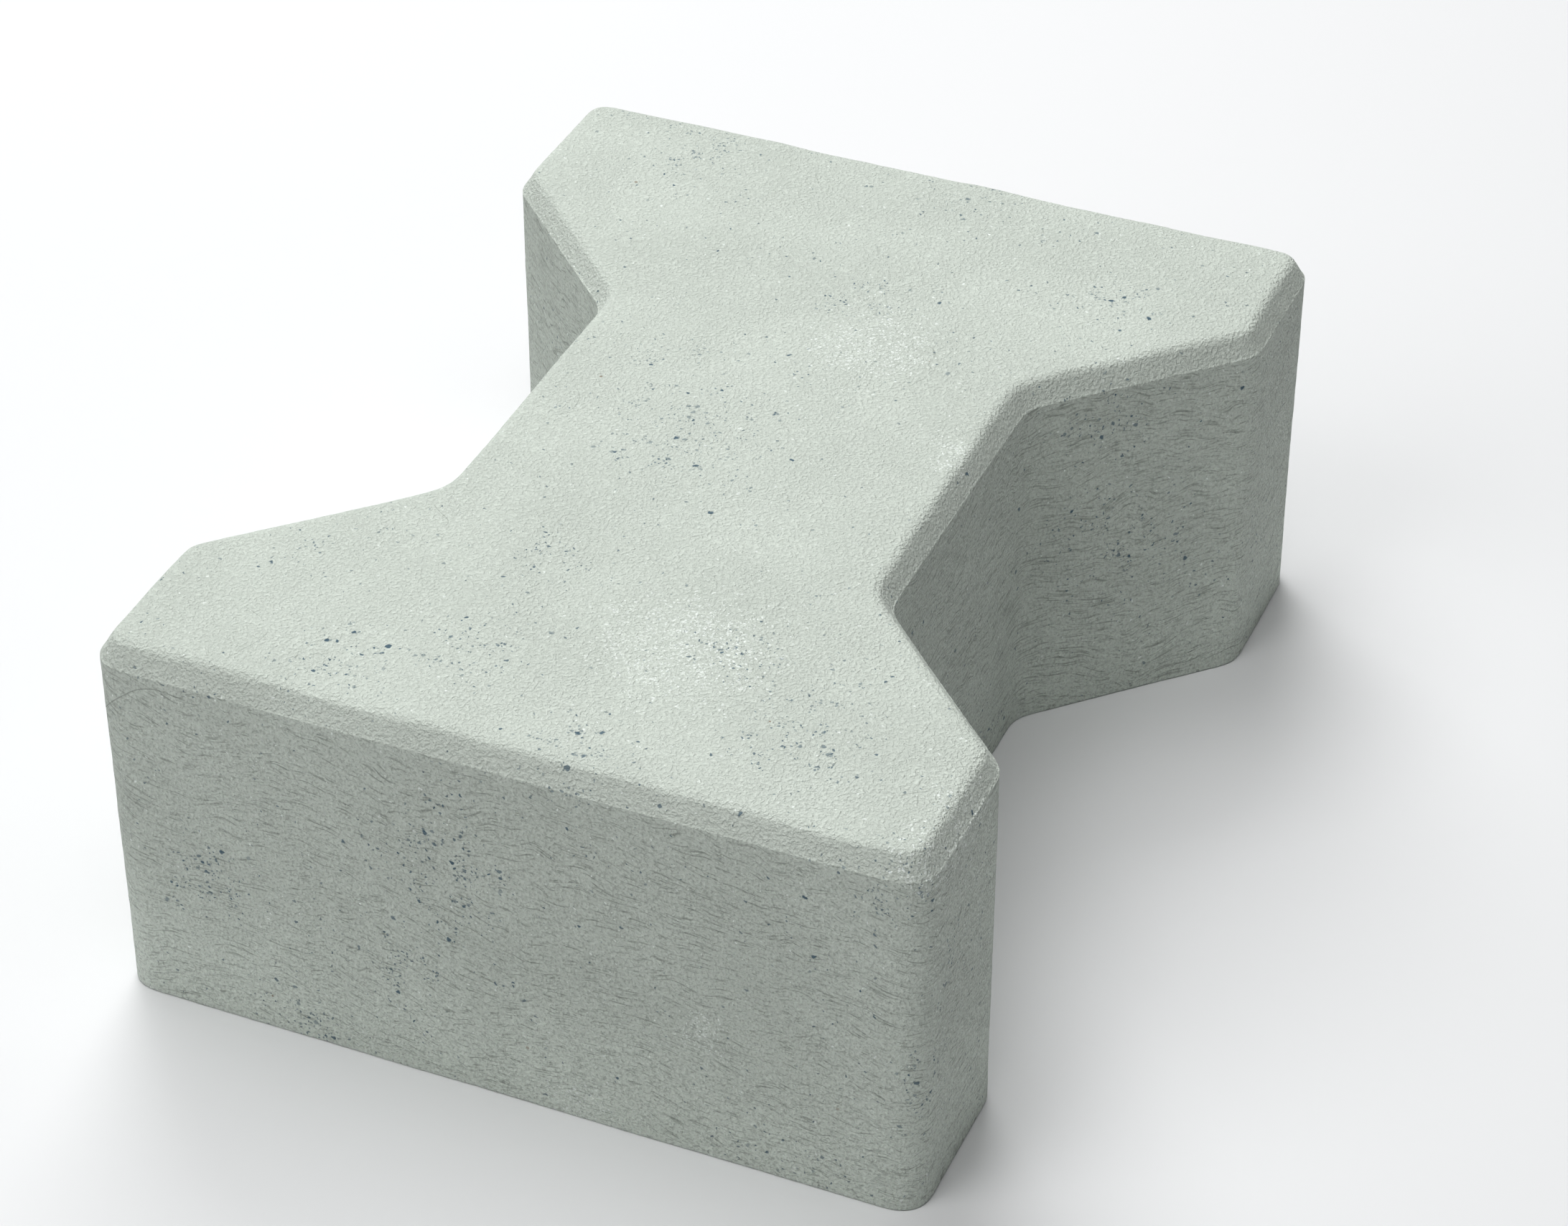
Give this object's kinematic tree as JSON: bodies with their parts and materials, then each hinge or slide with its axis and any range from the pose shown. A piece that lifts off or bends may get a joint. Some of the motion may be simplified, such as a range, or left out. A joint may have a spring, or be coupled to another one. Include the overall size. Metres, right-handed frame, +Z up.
{
  "type": "interlocking concrete paving block",
  "caption": "Interlocking precast concrete paving block: wide heads at both ends, a narrower waist between sloping flanks, and a chamfer round the flat wearing face.",
  "frame": {"origin": "centre of the bed face, on the ground under the middle of the block", "axes": "+Y along the length, towards the back end; +X across the heads; +Z up, towards the wearing face"},
  "size_m": [0.16, 0.21, 0.08],
  "materials": {
    "core_concrete": "vibro-pressed concrete, fine-grained and matt, with drag marks from the mould on its sides",
    "facing_concrete": "fine facing concrete, matt, with a slight orange peel, dark and white specks"
  },
  "bodies": {
    "root": {"core_block": "core_concrete", "facing_layer": "facing_concrete"}
  },
  "joints": []
}
